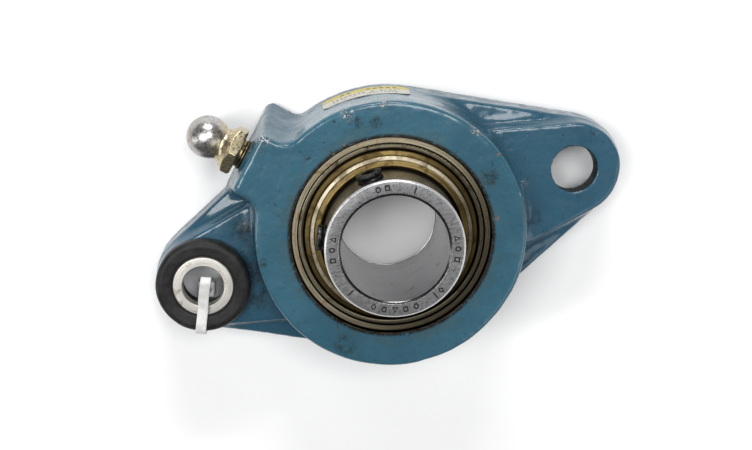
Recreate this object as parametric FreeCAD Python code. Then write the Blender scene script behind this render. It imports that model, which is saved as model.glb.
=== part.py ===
import FreeCAD
import Part

import math
import os

from FreeCAD import Vector

os.makedirs("parts", exist_ok=True)

# Two-bolt flange mount bearing, in millimetres.
# The origin is the centre of the shaft bore on the rear mounting face, +Z runs along the
# bore towards the front, and the two bolt holes lie on the X axis.

# Shaft and insert bearing
BORE_R = 12.7
INNER_RING_R = 16.9
INNER_FRONT_Z = 35.8
INNER_LENGTH = 34.1
BEARING_Z = 15.5
SPHERE_R = 26.0
OUTER_RING_WIDTH = 14.0
BALL_R = 3.969
BALL_COUNT = 9
PITCH_R = 19.5
RACE_R = 4.13
RACE_PLAY = 0.05
OUTER_SHOULDER_R = 22.1
SEAL_SEAT_R = 23.15
SEAL_SEAT_DEPTH = 2.2
FIT_PLAY = 0.04
BORE_BREAK = (0.8, 0.5)
CAGE_THICK = 0.7
CAGE_HALF_BAND = 1.35
CAGE_PLAY = 0.12
RIVET_R = 0.5
RIVET_HEAD_R = 0.95
RIVET_HEAD = 0.4

# Housing casting
FRONT_Z = 24.1
BOLT_SPACING = 98.8
BOLT_HOLE_R = 5.9
FLANGE_R = 34.9
HUB_FRONT_R = 33.4
LUG_R = 13.0
LUG_WIDTH_ANGLE = 13.0
LEDGE_Z = 8.9
BOSS_Z = 12.5
BOSS_R = 11.7
BOSS_SLOPE = 1.1
SIDE_DRAFT = 0.25
POCKET_DEPTH = 7.4
POCKET_R = 8.7
POCKET_ROOT_X = 37.6
POCKET_ROOT_HALF = 10.5
EDGE_R = 1.0

# Ear for the grease fitting
EAR_ANGLE = 135.0
EAR_FRONT = {"end": 39.6, "half": 7.7, "corner": 1.2, "valley": 4.6}
EAR_REAR = {"end": 41.2, "half": 12.9, "corner": 2.0, "valley": 2.6}

# Grease fitting
THREAD_R = 3.95
THREAD_PITCH = 0.94
THREAD_DEPTH = 0.45
SHANK_START = 30.0
PASSAGE_R = 1.6
BARREL_R = 3.9
HEX_FLATS = 11.2
HEX_START = 42.2
HEX_END = 45.3
NECK_U = 47.3
NECK_R = 4.0
BULB_U = 50.6
BULB_R = 5.3
NOZZLE_TIP_Z = 2.2
NOZZLE_HEAD = 4.6
NOZZLE_STEM_R = 2.5
NOZZLE_STEM = 4.7
CHECK_BALL_R = 1.15
SPRING_R = 0.95
SPRING_WIRE_R = 0.2
SPRING_PITCH = 0.9
SPRING_LENGTH = 4.6

# Set screws
SCREW_ANGLES = {"set_screw_a": 92.5, "set_screw_b": 157.5}
SCREW_Z = 30.0
SCREW_R = 3.14
SCREW_HOLE_R = 3.175
SCREW_LENGTH = 5.5
SCREW_TIP_R = 12.95
SCREW_PITCH = 0.907
SOCKET_FLATS = 3.175
SOCKET_DEPTH = 2.6

# Loose bush and rubber ring on the left lug
RUBBER_R = 12.0
RUBBER_HEIGHT = 3.8
SLEEVE_R = 7.5
SLEEVE_BORE_R = 5.4
SLEEVE_HEIGHT = 3.2

# Paper label on the hub's side
LABEL_ANGLE = 83.0
LABEL_ARC = 36.5
LABEL_LOW_Z = 4.7
LABEL_HIGH_Z = 13.8
LABEL_THICK = 0.15
LABEL_CORNER = 1.8


def export(name, shape):
    solids = shape.Solids
    group = solids[0] if len(solids) == 1 else Part.makeCompound(solids)
    group.exportStep(f"parts/{name}.step")


def rounded_wire(corners, place):
    """Closed wire of straight runs through (x, y, corner radius), set in space by place(x, y)."""
    edges = []
    joints = []
    count = len(corners)
    for i, (x, y, radius) in enumerate(corners):
        here = Vector(x, y, 0)
        back = Vector(*corners[i - 1][:2], 0) - here
        ahead = Vector(*corners[(i + 1) % count][:2], 0) - here
        back.normalize()
        ahead.normalize()
        if radius == 0:
            joints.append((here, None, here))
            continue
        half = back.getAngle(ahead) / 2
        run = radius / math.tan(half)
        bisector = (back + ahead).normalize()
        centre = here + bisector * (radius / math.sin(half))
        joints.append((here + back * run, centre - bisector * radius, here + ahead * run))
    for i, (enter, middle, leave) in enumerate(joints):
        after = joints[(i + 1) % count][0]
        a, b, c = place(enter.x, enter.y), None, place(leave.x, leave.y)
        if middle is not None:
            b = place(middle.x, middle.y)
            edges.append(Part.Arc(a, b, c).toShape())
        if (leave - after).Length > 1e-6:
            edges.append(Part.makeLine(c, place(after.x, after.y)))
    return Part.Wire(edges)


def ring(corners, base_z=0.0):
    """Solid turned about Z from a profile of (radius, height, corner radius)."""
    wire = rounded_wire(corners, lambda r, z: Vector(r, 0, base_z + z))
    return Part.Face(wire).revolve(Vector(0, 0, 0), Vector(0, 0, 1), 360)


def mirrored(corners):
    """The same profile on the other side of the bearing's middle plane."""
    return [(r, -z, radius) for r, z, radius in corners]


def cylinder(radius, low, high, x=0.0, y=0.0):
    return Part.makeCylinder(radius, high - low, Vector(x, y, low))


def radial(shape, angle, z):
    """Turn a shape built along +Z so that it points outwards at an angle, at height z."""
    shape = shape.copy()
    shape.rotate(Vector(0, 0, 0), Vector(0, 1, 0), 90)
    shape.rotate(Vector(0, 0, 0), Vector(0, 0, 1), angle)
    shape.translate(Vector(0, 0, z))
    return shape


def ball_centres():
    for i in range(BALL_COUNT):
        turn = 2 * math.pi * i / BALL_COUNT
        yield Vector(PITCH_R * math.cos(turn), PITCH_R * math.sin(turn), BEARING_Z)


# ---------------------------------------------------------------- housing

def hub_side_r(z):
    return FLANGE_R + (HUB_FRONT_R - FLANGE_R) * z / FRONT_Z


def flange_wire(z):
    """Outline of the flange: a round middle joined by tangents to the two lug ends."""
    middle = hub_side_r(z) - 0.01
    end = LUG_R - SIDE_DRAFT * z / LEDGE_Z
    reach = BOLT_SPACING / 2
    lean = math.asin((middle - end) / reach)
    big = Vector(middle * math.sin(lean), middle * math.cos(lean), z)
    small = Vector(reach + end * math.sin(lean), end * math.cos(lean), z)

    def at(point, sx, sy):
        return Vector(sx * point.x, sy * point.y, z)

    edges = [
        Part.Arc(at(big, -1, 1), Vector(0, middle, z), at(big, 1, 1)).toShape(),
        Part.makeLine(at(big, 1, 1), at(small, 1, 1)),
        Part.Arc(at(small, 1, 1), Vector(reach + end, 0, z), at(small, 1, -1)).toShape(),
        Part.makeLine(at(small, 1, -1), at(big, 1, -1)),
        Part.Arc(at(big, 1, -1), Vector(0, -middle, z), at(big, -1, -1)).toShape(),
        Part.makeLine(at(big, -1, -1), at(small, -1, -1)),
        Part.Arc(at(small, -1, -1), Vector(-reach - end, 0, z), at(small, -1, 1)).toShape(),
        Part.makeLine(at(small, -1, 1), at(big, -1, 1)),
    ]
    return Part.Wire(edges)


def lug_wire(side, z, end_r, root_x, root_half):
    """Outline that narrows from a root near the hub to a round end about the bolt hole."""
    reach = BOLT_SPACING / 2
    span = reach - root_x
    slant = math.atan2(root_half, span)
    lean = math.asin(end_r / math.hypot(span, root_half))
    turn = slant - lean
    touch = Vector(reach + end_r * math.sin(turn), end_r * math.cos(turn), z)

    def at(x, y):
        return Vector(side * x, y, z)

    edges = [
        Part.makeLine(at(root_x, -root_half), at(root_x, root_half)),
        Part.makeLine(at(root_x, root_half), at(touch.x, touch.y)),
        Part.Arc(at(touch.x, touch.y), at(reach + end_r, 0), at(touch.x, -touch.y)).toShape(),
        Part.makeLine(at(touch.x, -touch.y), at(root_x, -root_half)),
    ]
    return Part.Wire(edges)


def ear_wire(z, ear):
    """Outline of the ear: it leaves the round hub in two valleys and has two rounded corners."""
    hub_r = hub_side_r(z)
    valley, corner = ear["valley"], ear["corner"]
    half, end = ear["half"], ear["end"]
    centre_u = math.sqrt((hub_r + valley) ** 2 - (half + valley) ** 2)
    scale = hub_r / (hub_r + valley)
    lean = math.atan2(half + valley, centre_u)
    middle_turn = (math.pi + lean + 3 * math.pi / 2) / 2

    def at(u, t):
        point = FreeCAD.Rotation(Vector(0, 0, 1), EAR_ANGLE).multVec(Vector(u, t, 0))
        return Vector(point.x, point.y, z)

    def side(sign):
        hub_end = (centre_u * scale, sign * (half + valley) * scale)
        bend_u = centre_u + valley * math.cos(middle_turn)
        bend = (bend_u, sign * (half + valley + valley * math.sin(middle_turn)))
        line_start = (centre_u, sign * half)
        line_end = (end - corner, sign * half)
        inset = corner * (1 - math.sqrt(0.5))
        mid_corner = (end - inset, sign * (half - inset))
        end_start = (end, sign * (half - corner))
        return hub_end, bend, line_start, line_end, mid_corner, end_start

    a, b, c, d, e, f = [at(*point) for point in side(1)]
    a2, b2, c2, d2, e2, f2 = [at(*point) for point in side(-1)]
    edges = [
        Part.Arc(a2, b2, c2).toShape(),
        Part.makeLine(c2, d2),
        Part.Arc(d2, e2, f2).toShape(),
        Part.makeLine(f2, f),
        Part.Arc(f, e, d).toShape(),
        Part.makeLine(d, c),
        Part.Arc(c, b, a).toShape(),
        Part.makeLine(a, a2),
    ]
    return Part.Wire(edges)


def edges_at(shape, z, outside_r):
    """Edges that lie flat at a height and wholly outside a radius."""
    found = []
    for edge in shape.Edges:
        box = edge.BoundBox
        flat = abs(box.ZMin - z) < 1e-4 and abs(box.ZMax - z) < 1e-4
        if flat and min(math.hypot(v.X, v.Y) for v in edge.Vertexes) > outside_r:
            found.append(edge)
    return found


def make_housing():
    hub = Part.makeCone(FLANGE_R, HUB_FRONT_R, FRONT_Z)
    hub = hub.fuse(Part.makeLoft([ear_wire(0, EAR_REAR), ear_wire(FRONT_Z, EAR_FRONT)], True, True))
    hub = hub.removeSplitter()
    hub = hub.makeFillet(EDGE_R, edges_at(hub, FRONT_Z, HUB_FRONT_R - 1))
    flange = Part.makeLoft([flange_wire(0), flange_wire(LEDGE_Z)], True, True)
    flange = flange.makeFillet(EDGE_R, edges_at(flange, LEDGE_Z, LUG_R))
    root_x = 20.0
    root_half = BOSS_R + (BOLT_SPACING / 2 - root_x) * math.tan(math.radians(LUG_WIDTH_ANGLE))
    body = hub.fuse(flange)
    for side in (1, -1):
        low = LEDGE_Z - 1.5
        grow = BOSS_SLOPE * (BOSS_Z - low) / (BOSS_Z - LEDGE_Z)
        top = lug_wire(side, BOSS_Z, BOSS_R, root_x, root_half)
        foot = lug_wire(side, low, min(BOSS_R + grow, LUG_R - SIDE_DRAFT), root_x, root_half + grow)
        boss = Part.makeLoft([foot, top], True, True)
        boss = boss.makeFillet(EDGE_R * 0.8, edges_at(boss, BOSS_Z, root_x + 1))
        body = body.fuse(boss)
    body = body.removeSplitter()

    for side in (1, -1):
        pocket_top = lug_wire(side, POCKET_DEPTH, POCKET_R - 0.3, POCKET_ROOT_X, POCKET_ROOT_HALF - 0.3)
        pocket_mouth = lug_wire(side, -0.1, POCKET_R, POCKET_ROOT_X - 0.3, POCKET_ROOT_HALF)
        body = body.cut(Part.makeLoft([pocket_mouth, pocket_top], True, True))
        body = body.cut(cylinder(BOLT_HOLE_R, 0, BOSS_Z + 1, side * BOLT_SPACING / 2))

    seat_r = SPHERE_R + FIT_PLAY
    seat = Part.makeSphere(seat_r, Vector(0, 0, BEARING_Z))
    half_seat = FRONT_Z - BEARING_Z
    seat = seat.common(cylinder(seat_r, BEARING_Z - half_seat, FRONT_Z + 1))
    lip_r = math.sqrt(seat_r ** 2 - half_seat ** 2)
    lip_break = Part.makeCone(lip_r - 0.2, lip_r + 0.7, 0.9, Vector(0, 0, FRONT_Z - 0.6))
    rear_bore = cylinder(lip_r + 0.3, -1, BEARING_Z - half_seat + 0.3)
    slot_half = OUTER_RING_WIDTH / 2 + 0.3
    slot = Part.makeBox(2 * slot_half, 4 * seat_r, BEARING_Z + 1, Vector(-slot_half, -2 * seat_r, -1))
    slot = slot.common(cylinder(seat_r, -1, BEARING_Z))
    for tool in (seat, lip_break, rear_bore, slot):
        body = body.cut(tool)

    tapped = radial(cylinder(THREAD_R + 0.05, 29.5, EAR_REAR["end"] + 2), EAR_ANGLE, BEARING_Z)
    passage = radial(cylinder(2.0, SPHERE_R - 1, 30), EAR_ANGLE, BEARING_Z)
    return body.cut(tapped).cut(passage)


# ---------------------------------------------------------------- insert bearing

def race(radius):
    return Part.makeTorus(radius, RACE_R, Vector(0, 0, BEARING_Z))


def make_outer_ring():
    half = OUTER_RING_WIDTH / 2
    ball = Part.makeSphere(SPHERE_R, Vector(0, 0, BEARING_Z))
    body = ball.common(cylinder(SPHERE_R, BEARING_Z - half, BEARING_Z + half))
    edge_r = math.sqrt(SPHERE_R ** 2 - half ** 2)
    bevel = 0.45
    for sign in (1, -1):
        corner = [
            (edge_r - bevel, half, 0), (edge_r + 1, half + 0.01, 0), (edge_r + 1, half - bevel, 0),
            (edge_r + bevel * 0.2, half - bevel, 0),
        ]
        body = body.cut(ring(corner if sign == 1 else mirrored(corner), BEARING_Z))
    body = body.cut(cylinder(OUTER_SHOULDER_R, BEARING_Z - half, BEARING_Z + half))
    body = body.cut(race(PITCH_R + BALL_R + RACE_PLAY - RACE_R))
    depth = SEAL_SEAT_DEPTH
    body = body.cut(cylinder(SEAL_SEAT_R, BEARING_Z + half - depth, BEARING_Z + half + 1))
    body = body.cut(cylinder(SEAL_SEAT_R, BEARING_Z - half - 1, BEARING_Z - half + depth))
    floor_r, mouth_r = SPHERE_R - 0.7, SPHERE_R + 1
    groove = [(floor_r, -1.4, 0), (mouth_r, -1.4, 0), (mouth_r, 1.4, 0), (floor_r, 1.4, 0)]
    body = body.cut(ring(groove, BEARING_Z))
    for angle in (EAR_ANGLE, EAR_ANGLE + 180):
        body = body.cut(radial(cylinder(0.8, OUTER_SHOULDER_R, SPHERE_R), angle, BEARING_Z))
    return body


def make_inner_ring():
    rear_z = INNER_FRONT_Z - INNER_LENGTH
    wide, deep = BORE_BREAK
    profile = [
        (BORE_R + wide, 0, 0), (INNER_RING_R - 0.4, 0, 0), (INNER_RING_R, 0.4, 0),
        (INNER_RING_R, INNER_LENGTH - 0.55, 0), (INNER_RING_R - 0.55, INNER_LENGTH, 0),
        (BORE_R + wide, INNER_LENGTH, 0), (BORE_R, INNER_LENGTH - deep, 0), (BORE_R, deep, 0),
    ]
    body = ring(profile, rear_z).cut(race(PITCH_R - BALL_R - RACE_PLAY + RACE_R))
    for angle in SCREW_ANGLES.values():
        hole = cylinder(SCREW_HOLE_R, BORE_R - 2, INNER_RING_R + 2)
        body = body.cut(radial(hole, angle, SCREW_Z))
    return body


def make_balls():
    return Part.makeCompound([Part.makeSphere(BALL_R, centre) for centre in ball_centres()])


def rivet_places():
    for i in range(BALL_COUNT):
        turn = 2 * math.pi * (i + 0.5) / BALL_COUNT
        yield PITCH_R * math.cos(turn), PITCH_R * math.sin(turn)


def make_cage_half(sign):
    """Pressed ribbon: a flat band between the balls and a rounded pocket over each ball."""
    band = cylinder(PITCH_R + CAGE_HALF_BAND, 0, 6).cut(cylinder(PITCH_R - CAGE_HALF_BAND, 0, 6))
    body = cylinder(PITCH_R + 3, 0, CAGE_THICK)
    ball_gap = BALL_R + CAGE_PLAY
    for centre in ball_centres():
        body = body.fuse(Part.makeSphere(ball_gap + CAGE_THICK, Vector(centre.x, centre.y, 0)))
    body = body.common(band)
    for centre in ball_centres():
        body = body.cut(Part.makeSphere(ball_gap, Vector(centre.x, centre.y, 0)))
    for x, y in rivet_places():
        body = body.cut(cylinder(RIVET_R, 0, 2, x, y))
    if sign < 0:
        body = body.mirror(Vector(0, 0, 0), Vector(0, 0, 1))
    body.translate(Vector(0, 0, BEARING_Z))
    return body


def make_cage_rivets():
    rivets = []
    for x, y in rivet_places():
        rivet = cylinder(RIVET_R, -CAGE_THICK, CAGE_THICK, x, y)
        rivet = rivet.fuse(cylinder(RIVET_HEAD_R, CAGE_THICK, CAGE_THICK + RIVET_HEAD, x, y))
        rivet = rivet.fuse(cylinder(RIVET_HEAD_R, -CAGE_THICK - RIVET_HEAD, -CAGE_THICK, x, y))
        rivet.translate(Vector(0, 0, BEARING_Z))
        rivets.append(rivet)
    return Part.makeCompound(rivets)


# Seal and flinger profiles, as (radius, height from the bearing's middle plane, corner radius)
SEAL_CARRIER = [
    (18.6, 4.85, 0), (SEAL_SEAT_R, 4.85, 0.2), (SEAL_SEAT_R, 6.1, 0.2),
    (22.95, 6.75, 0.35), (21.65, 6.75, 0.55), (21.65, 5.45, 0.3), (18.6, 5.45, 0),
]
SEAL_LIP = [
    (INNER_RING_R + 0.06, 4.7, 0), (17.3, 4.6, 0), (18.0, 4.85, 0), (18.6, 4.85, 0),
    (18.6, 5.45, 0), (17.6, 5.45, 0), (INNER_RING_R + 0.06, 5.2, 0),
]
FLINGER = [
    (INNER_RING_R, 6.0, 0), (18.0, 6.0, 0.4), (18.0, 7.55, 0.3), (19.0, 7.2, 0.2), (19.75, 7.15, 0.2),
    (20.1, 6.7, 0.2), (21.3, 6.1, 0.1), (21.3, 6.7, 0.25), (20.3, 7.3, 0.3), (19.95, 7.85, 0.3),
    (19.05, 8.0, 0.3), (18.85, 7.8, 0.2), (17.4, 8.5, 0.45), (17.4, 6.75, 0.2), (INNER_RING_R, 6.75, 0),
]


def make_set_screw(angle):
    """Cup-point set screw with a hexagon socket, its thread drawn as parallel grooves."""
    turns = int(SCREW_LENGTH / SCREW_PITCH)
    root = SCREW_R - 0.3
    profile = [(0, 0.5, 0), (1.0, 0, 0), (1.9, 0, 0), (root, 0.6, 0)]
    for i in range(turns - 1):
        z = 0.6 + i * SCREW_PITCH
        profile += [(SCREW_R, z + 0.35 * SCREW_PITCH, 0), (SCREW_R, z + 0.6 * SCREW_PITCH, 0)]
        profile += [(root, z + SCREW_PITCH, 0)]
    profile += [(SCREW_R, SCREW_LENGTH - 0.7, 0), (SCREW_R, SCREW_LENGTH - 0.25, 0)]
    profile += [(SCREW_R - 0.25, SCREW_LENGTH, 0), (0, SCREW_LENGTH, 0)]
    body = ring(profile, SCREW_TIP_R)
    head_r = SCREW_TIP_R + SCREW_LENGTH
    body = body.cut(hexagon(SOCKET_FLATS, head_r - SOCKET_DEPTH, head_r + 1))
    return radial(body, angle, SCREW_Z)


def hexagon(flats, low, high):
    corner_r = flats / math.sqrt(3)
    points = []
    for i in range(7):
        angle = math.radians(60 * i)
        points.append(Vector(corner_r * math.cos(angle), corner_r * math.sin(angle), low))
    return Part.Face(Part.makePolygon(points)).extrude(Vector(0, 0, high - low))


# ---------------------------------------------------------------- grease fitting

def bulb_place():
    turn = math.radians(EAR_ANGLE)
    return BULB_U * math.cos(turn), BULB_U * math.sin(turn)


def threaded_shank():
    root = THREAD_R - THREAD_DEPTH
    profile = [(0, SHANK_START, 0), (root, SHANK_START, 0)]
    for i in range(int((HEX_START - SHANK_START) / THREAD_PITCH)):
        z = SHANK_START + 0.3 + i * THREAD_PITCH
        profile += [(THREAD_R, z + 0.3 * THREAD_PITCH, 0), (THREAD_R, z + 0.6 * THREAD_PITCH, 0)]
        profile += [(root, z + 0.9 * THREAD_PITCH, 0)]
    profile += [(root, HEX_START + 0.5, 0), (0, HEX_START + 0.5, 0)]
    return ring(profile)


def chamfered_hexagon():
    corner_r, flat_r = HEX_FLATS / math.sqrt(3), HEX_FLATS / 2
    envelope = ring([
        (0, HEX_START, 0), (flat_r - 0.1, HEX_START, 0), (corner_r, HEX_START + 0.5, 0),
        (corner_r, HEX_END - 0.9, 0), (flat_r - 0.4, HEX_END, 0), (0, HEX_END, 0),
    ])
    return hexagon(HEX_FLATS, HEX_START, HEX_END).common(envelope)


def make_grease_elbow():
    """Threaded shank, hexagon and a smooth bulb that turns the passage towards the rear."""
    neck = ring([
        (0, HEX_END, 0), (HEX_FLATS / 2 - 0.4, HEX_END, 0), (NECK_R + 0.3, NECK_U - 0.9, 0.8),
        (NECK_R, NECK_U, 0), (NECK_R, BULB_U, 0), (0, BULB_U, 0),
    ])
    body = radial(threaded_shank().fuse(chamfered_hexagon()).fuse(neck), EAR_ANGLE, BEARING_Z)
    x, y = bulb_place()
    barrel_end = NOZZLE_TIP_Z + NOZZLE_HEAD
    stem_end = barrel_end + NOZZLE_STEM
    body = body.fuse(Part.makeSphere(BULB_R, Vector(x, y, BEARING_Z)))
    body = body.fuse(cylinder(BARREL_R, barrel_end, BEARING_Z, x, y))
    body = body.removeSplitter()
    body = body.cut(radial(cylinder(PASSAGE_R, SHANK_START - 1, BULB_U), EAR_ANGLE, BEARING_Z))
    body = body.cut(cylinder(PASSAGE_R, stem_end - 1, BEARING_Z + 1, x, y))
    return body.cut(cylinder(NOZZLE_STEM_R, barrel_end - 1, stem_end + 1, x, y))


def make_grease_nozzle():
    """Pressed-in nozzle: stem, waist, coupler head and a seat for the check ball."""
    nozzle = ring([
        (0.7, 0, 0), (1.7, 0, 0), (3.2, 1.9, 0.3), (3.2, 2.5, 0.3), (2.3, 3.4, 0.3), (2.3, 4.4, 0),
        (NOZZLE_STEM_R, NOZZLE_HEAD, 0), (NOZZLE_STEM_R, NOZZLE_HEAD + NOZZLE_STEM, 0),
        (1.4, NOZZLE_HEAD + NOZZLE_STEM, 0), (1.4, 1.9, 0), (0.7, 1.1, 0),
    ], NOZZLE_TIP_Z)
    nozzle.translate(Vector(*bulb_place(), 0))
    return nozzle


def make_check_ball():
    return Part.makeSphere(CHECK_BALL_R, Vector(*bulb_place(), NOZZLE_TIP_Z + 2.55))


def make_nozzle_spring():
    """Coil of eight-sided wire that stands on the check ball."""
    helix = Part.makeHelix(SPRING_PITCH, SPRING_LENGTH, SPRING_R)
    along = helix.Edges[0].tangentAt(helix.Edges[0].FirstParameter)
    outwards = Vector(1, 0, 0)
    upwards = along.cross(outwards).normalize()
    corners = []
    for i in range(9):
        turn = math.pi / 8 + i * math.pi / 4
        offset = outwards * math.cos(turn) + upwards * math.sin(turn)
        corners.append(outwards * SPRING_R + offset * SPRING_WIRE_R)
    coil = Part.Wire(helix.Edges).makePipeShell([Part.makePolygon(corners)], True, True)
    coil.translate(Vector(*bulb_place(), NOZZLE_TIP_Z + 4.0))
    return coil


# ---------------------------------------------------------------- loose bush and label

def on_left_lug(shape):
    shape.translate(Vector(-BOLT_SPACING / 2, 0, BOSS_Z))
    return shape


def make_rubber_ring():
    return on_left_lug(ring([
        (SLEEVE_R + 0.05, 0, 0.3), (RUBBER_R, 0, 0.6), (RUBBER_R, RUBBER_HEIGHT, 1.6),
        (SLEEVE_R + 0.05, RUBBER_HEIGHT, 0.6),
    ]))


def make_spacer_sleeve():
    return on_left_lug(ring([
        (SLEEVE_BORE_R, 0, 0.3), (SLEEVE_R, 0, 0.3), (SLEEVE_R, SLEEVE_HEIGHT, 0.9),
        (SLEEVE_BORE_R, SLEEVE_HEIGHT, 0.35),
    ]))


def make_label():
    """Thin sheet wrapped on the hub's drafted side, with rounded corners."""
    gap = 0.01
    low, high = LABEL_LOW_Z, LABEL_HIGH_Z
    sheet = ring([
        (hub_side_r(low) + gap, low, 0), (hub_side_r(low) + gap + LABEL_THICK, low, 0),
        (hub_side_r(high) + gap + LABEL_THICK, high, 0), (hub_side_r(high) + gap, high, 0),
    ])
    half_arc = math.radians(LABEL_ARC / 2) * hub_side_r(low)
    middle, half_height = (low + high) / 2, (high - low) / 2
    corners = [
        (-half_height, -half_arc, LABEL_CORNER), (half_height, -half_arc, LABEL_CORNER),
        (half_height, half_arc, LABEL_CORNER), (-half_height, half_arc, LABEL_CORNER),
    ]
    wire = rounded_wire(corners, lambda a, b: Vector(-a, b, 0))
    stamp = Part.Face(wire).extrude(Vector(0, 0, 2 * FLANGE_R))
    return sheet.common(radial(stamp, LABEL_ANGLE, middle))


export("housing", make_housing())
export("outer_ring", make_outer_ring())
export("inner_ring", make_inner_ring())
export("balls", make_balls())
export("cage_front", make_cage_half(1))
export("cage_rear", make_cage_half(-1))
export("cage_rivets", make_cage_rivets())
for end, shape_side in (("front", list), ("rear", mirrored)):
    export(f"{end}_seal_carrier", ring(shape_side(SEAL_CARRIER), BEARING_Z))
    export(f"{end}_seal_lip", ring(shape_side(SEAL_LIP), BEARING_Z))
    export(f"{end}_flinger", ring(shape_side(FLINGER), BEARING_Z))
for name, angle in SCREW_ANGLES.items():
    export(name, make_set_screw(angle))
export("grease_elbow", make_grease_elbow())
export("grease_nozzle", make_grease_nozzle())
export("nozzle_check_ball", make_check_ball())
export("nozzle_spring", make_nozzle_spring())
export("rubber_ring", make_rubber_ring())
export("spacer_sleeve", make_spacer_sleeve())
export("label", make_label())
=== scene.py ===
import math

import bmesh
import bpy
import numpy as np
from mathutils import Matrix, Vector, noise


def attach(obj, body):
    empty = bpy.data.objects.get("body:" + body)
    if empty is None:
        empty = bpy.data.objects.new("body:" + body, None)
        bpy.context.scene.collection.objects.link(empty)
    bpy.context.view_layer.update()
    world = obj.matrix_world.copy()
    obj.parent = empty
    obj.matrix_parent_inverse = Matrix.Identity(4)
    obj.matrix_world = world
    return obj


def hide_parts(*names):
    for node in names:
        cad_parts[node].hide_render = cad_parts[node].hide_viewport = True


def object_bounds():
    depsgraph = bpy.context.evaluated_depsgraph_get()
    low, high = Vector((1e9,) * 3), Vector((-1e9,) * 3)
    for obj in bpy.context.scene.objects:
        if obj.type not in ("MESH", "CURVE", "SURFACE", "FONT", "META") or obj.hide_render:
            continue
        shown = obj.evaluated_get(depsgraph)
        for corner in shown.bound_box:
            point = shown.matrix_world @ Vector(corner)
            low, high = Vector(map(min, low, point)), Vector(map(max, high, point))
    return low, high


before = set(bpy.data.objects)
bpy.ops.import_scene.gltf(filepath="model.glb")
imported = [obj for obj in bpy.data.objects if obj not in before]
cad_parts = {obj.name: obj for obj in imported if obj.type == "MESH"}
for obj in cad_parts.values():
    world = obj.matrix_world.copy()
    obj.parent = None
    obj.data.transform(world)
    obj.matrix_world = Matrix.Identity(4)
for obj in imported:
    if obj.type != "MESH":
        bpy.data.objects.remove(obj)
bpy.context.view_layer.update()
MM = 0.001


# Sizes of the CAD part that the pieces below have to meet, in millimetres
BEARING_Z = 15.5
SEAT_R = 26.04
FRONT_Z = 24.1
BORE_R = 12.7
COLLAR_R = 16.9
COLLAR_FRONT_Z = 35.8
COLLAR_REAR_Z = 1.7
SCREW_ANGLES = (92.5, 157.5)
SCREW_Z = 30.0
SCREW_HOLE_R = 3.175
BALL_CIRCLE_R = 19.61
GROOVE_R = 4.13
BOLT_X = 49.4
BOLT_HOLE_R = 5.9
BOSS_Z = 12.5
EAR_ANGLE = 135.0


# ---------------------------------------------------------------- materials

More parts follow.
